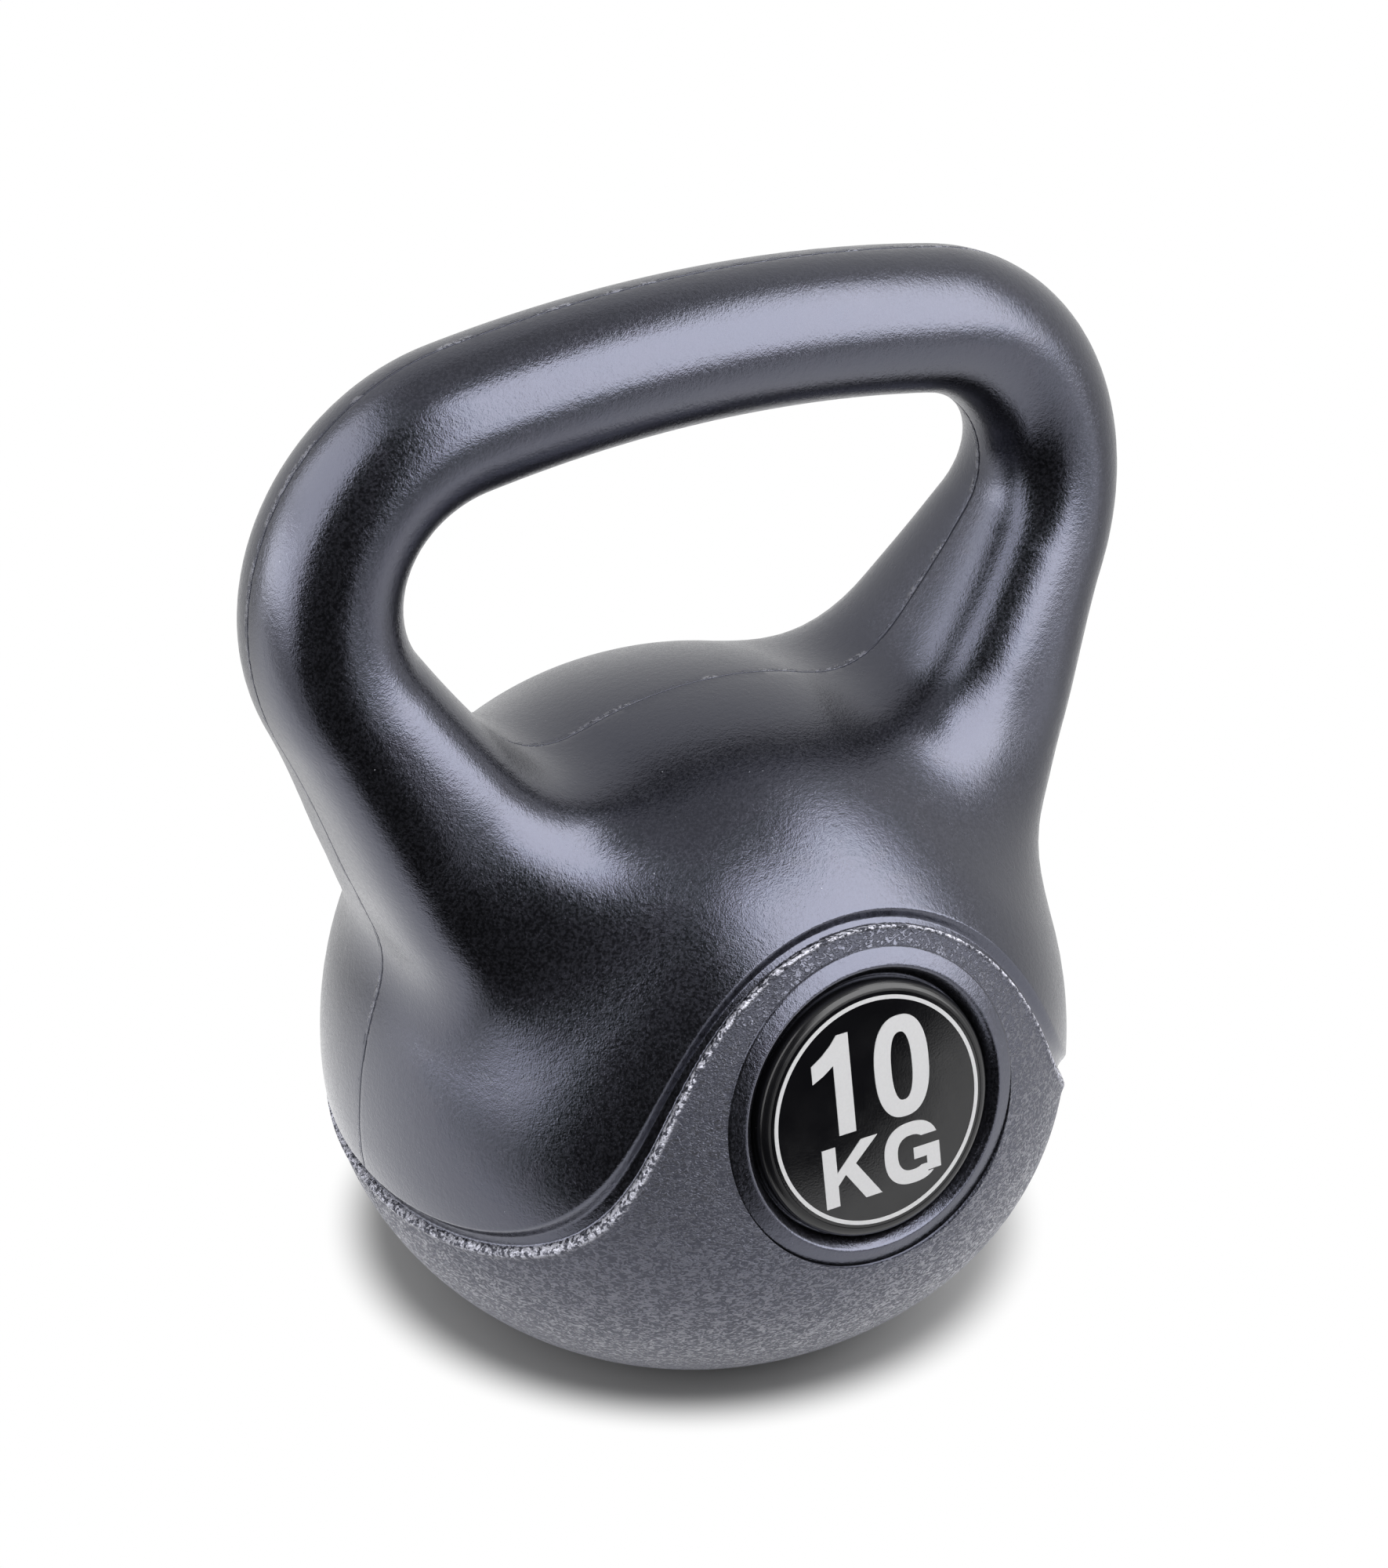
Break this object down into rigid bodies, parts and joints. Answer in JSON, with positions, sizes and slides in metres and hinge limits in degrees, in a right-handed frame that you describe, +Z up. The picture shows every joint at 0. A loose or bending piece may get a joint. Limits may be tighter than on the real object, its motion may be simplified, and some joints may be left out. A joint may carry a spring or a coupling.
{
  "type": "kettlebell",
  "caption": "Kettlebell with a moulded plastic shell around a cast fill, a wide bowed handle, and a round weight badge on a ball with a flat foot.",
  "frame": {"origin": "centre of the flat foot, on the floor", "axes": "+Z up, +X to the right along the handle, the front badge faces -Y"},
  "size_m": [0.2428, 0.193, 0.29],
  "materials": {
    "shell_plastic": "satin moulded polyethylene, grained below the wavy groove",
    "cast_fill": "raw cement and sand",
    "bar_steel": "plain drawn bar",
    "plug_plastic": "gloss moulded",
    "label_film": "gloss film",
    "print_ink": "screen print"
  },
  "bodies": {
    "root": {"shell": "shell_plastic", "fill": "cast_fill", "handle_bar": "bar_steel", "front_plug": "plug_plastic", "front_label": "label_film", "weight_mark": "print_ink", "rear_plug": "plug_plastic", "rear_label": "label_film"}
  },
  "joints": []
}
